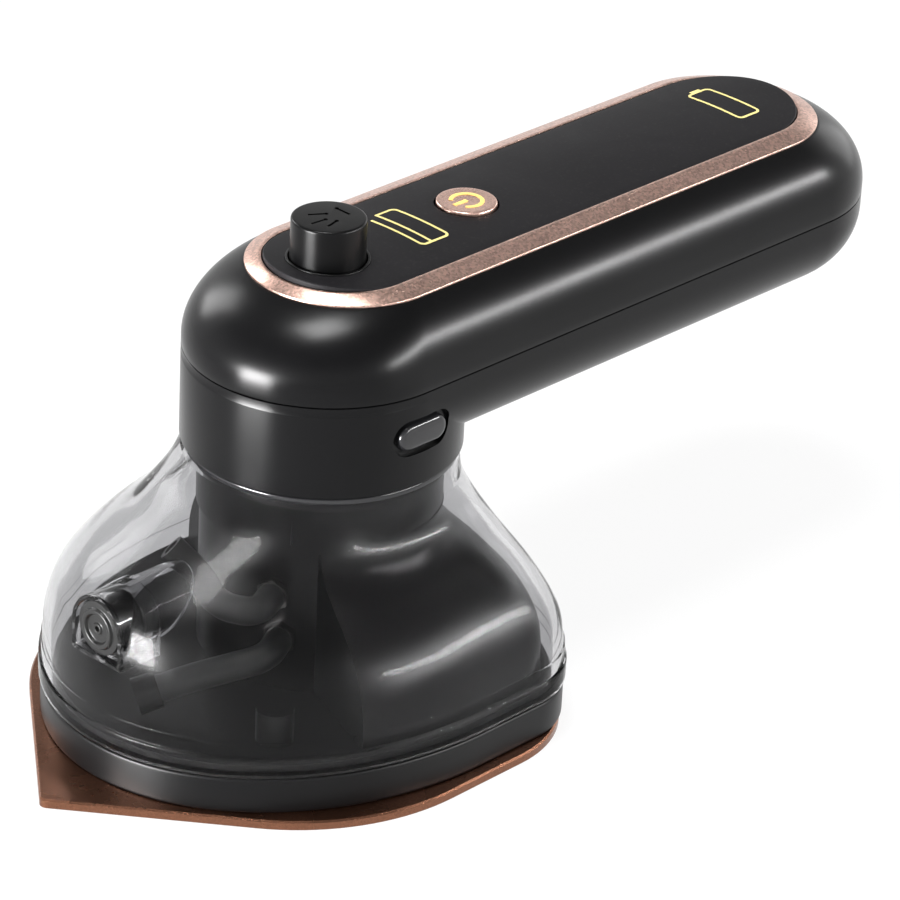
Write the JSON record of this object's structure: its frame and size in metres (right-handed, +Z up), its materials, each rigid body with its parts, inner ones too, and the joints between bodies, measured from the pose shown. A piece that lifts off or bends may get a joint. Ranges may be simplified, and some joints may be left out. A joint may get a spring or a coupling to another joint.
{
  "type": "garment steamer",
  "caption": "Cordless mini steam iron with a smoky clear water tank and a battery handle that swivels on the tank, with a thumb steam pump and a power button on top.",
  "frame": {"origin": "where the handle's swivel axis meets the pressing face of the sole", "axes": "+X from the head along the stored handle, so the iron's point looks along -X; +Z up from the pressing face; the release button is on the -Y side"},
  "size_m": [0.1888, 0.0866, 0.0889],
  "materials": {
    "shell_black": "satin",
    "panel_black": "matte",
    "control_black": "satin",
    "gloss_black": "gloss",
    "rose_metal": "fine metallic",
    "icon_gold": "flat print",
    "sole_copper": "speckled",
    "cast_aluminium": "cast",
    "sheath_steel": "satin",
    "seal_rubber": "matte",
    "plug_rubber": "matte",
    "thermostat_body": "satin",
    "tank_smoke": "clear gloss",
    "neck_clear": "clear gloss",
    "core_black": "satin",
    "pump_plastic": "satin",
    "hose_clear": "translucent",
    "fitting_brass": "turned",
    "swivel_plastic": "satin",
    "cell_skin": "satin",
    "cell_filling": "matte",
    "board_green": "satin",
    "chip_black": "matte",
    "guide_clear": "clear"
  },
  "bodies": {
    "head": {"base_ring": "shell_black", "swivel_ring": "gloss_black", "sole_plate": "sole_copper", "heater_block": "cast_aluminium", "heating_element": "sheath_steel", "chamber_cover": "sheath_steel", "thermostat_clip": "sheath_steel", "base_screws": "sheath_steel", "tower_screws": "sheath_steel", "retainer_screws": "sheath_steel", "pump_spring": "sheath_steel", "valve_balls": "sheath_steel", "heat_shield": "sheath_steel", "chamber_gasket": "seal_rubber", "tank_seal": "seal_rubber", "neck_seal": "seal_rubber", "thermostat": "thermostat_body", "thermal_fuse": "thermostat_body", "tank_shell": "tank_smoke", "fill_neck": "neck_clear", "core_housing": "core_black", "pump_cylinder": "pump_plastic", "valve_block": "pump_plastic", "suction_hose": "hose_clear", "vent_hose": "hose_clear", "feed_tube": "hose_clear", "hose_fittings": "fitting_brass", "suction_weight": "fitting_brass", "swivel_tower": "swivel_plastic", "retainer_ring": "swivel_plastic", "terminal_block": "swivel_plastic"},
    "handle": {"handle_lower_shell": "shell_black", "handle_upper_shell": "shell_black", "trim_ring": "rose_metal", "top_panel": "panel_black", "heat_icon": "icon_gold", "cell_icon": "icon_gold", "button_bezel": "control_black", "battery_cans": "cell_skin", "battery_cores": "cell_filling", "cell_tabs": "sheath_steel", "cell_holder": "swivel_plastic", "main_board": "board_green", "board_parts": "chip_black", "tact_switch": "chip_black", "light_guides": "guide_clear", "charge_board": "board_green", "charge_socket": "sheath_steel", "case_screws": "sheath_steel", "bearing_washer": "pump_plastic", "release_spring": "sheath_steel"},
    "plunger": {"steam_button": "control_black", "pump_rod": "pump_plastic", "pump_piston": "pump_plastic", "piston_seal": "seal_rubber"},
    "power_key": {"power_button": "rose_metal", "power_mark": "icon_gold"},
    "release": {"release_button": "gloss_black", "latch_slider": "swivel_plastic"},
    "plug": {"fill_plug": "plug_rubber"}
  },
  "joints": [
    {"name": "handle_swivel", "type": "hinge", "parent": "head", "child": "handle", "pos_m": [0, 0, 0.0486], "axis": [0, 0, 1], "range_deg": [0, 180]},
    {"name": "steam_press", "type": "slide", "parent": "handle", "child": "plunger", "axis": [0, 0, -1], "range_m": [0, 0.004], "stiffness_N_per_m": 400, "springref_m": -0.004, "deforming": ["pump_spring"]},
    {"name": "power_press", "type": "slide", "parent": "handle", "child": "power_key", "axis": [0, 0, -1], "range_m": [0, 0.0006], "stiffness_N_per_m": 800, "springref_m": -0.0006},
    {"name": "release_press", "type": "slide", "parent": "handle", "child": "release", "axis": [0, 1, 0], "range_m": [0, 0.002], "stiffness_N_per_m": 400, "springref_m": -0.002, "deforming": ["release_spring"]},
    {"name": "plug_pull", "type": "slide", "parent": "head", "child": "plug", "axis": [-1, 0, 0], "range_m": [0, 0.018]}
  ]
}
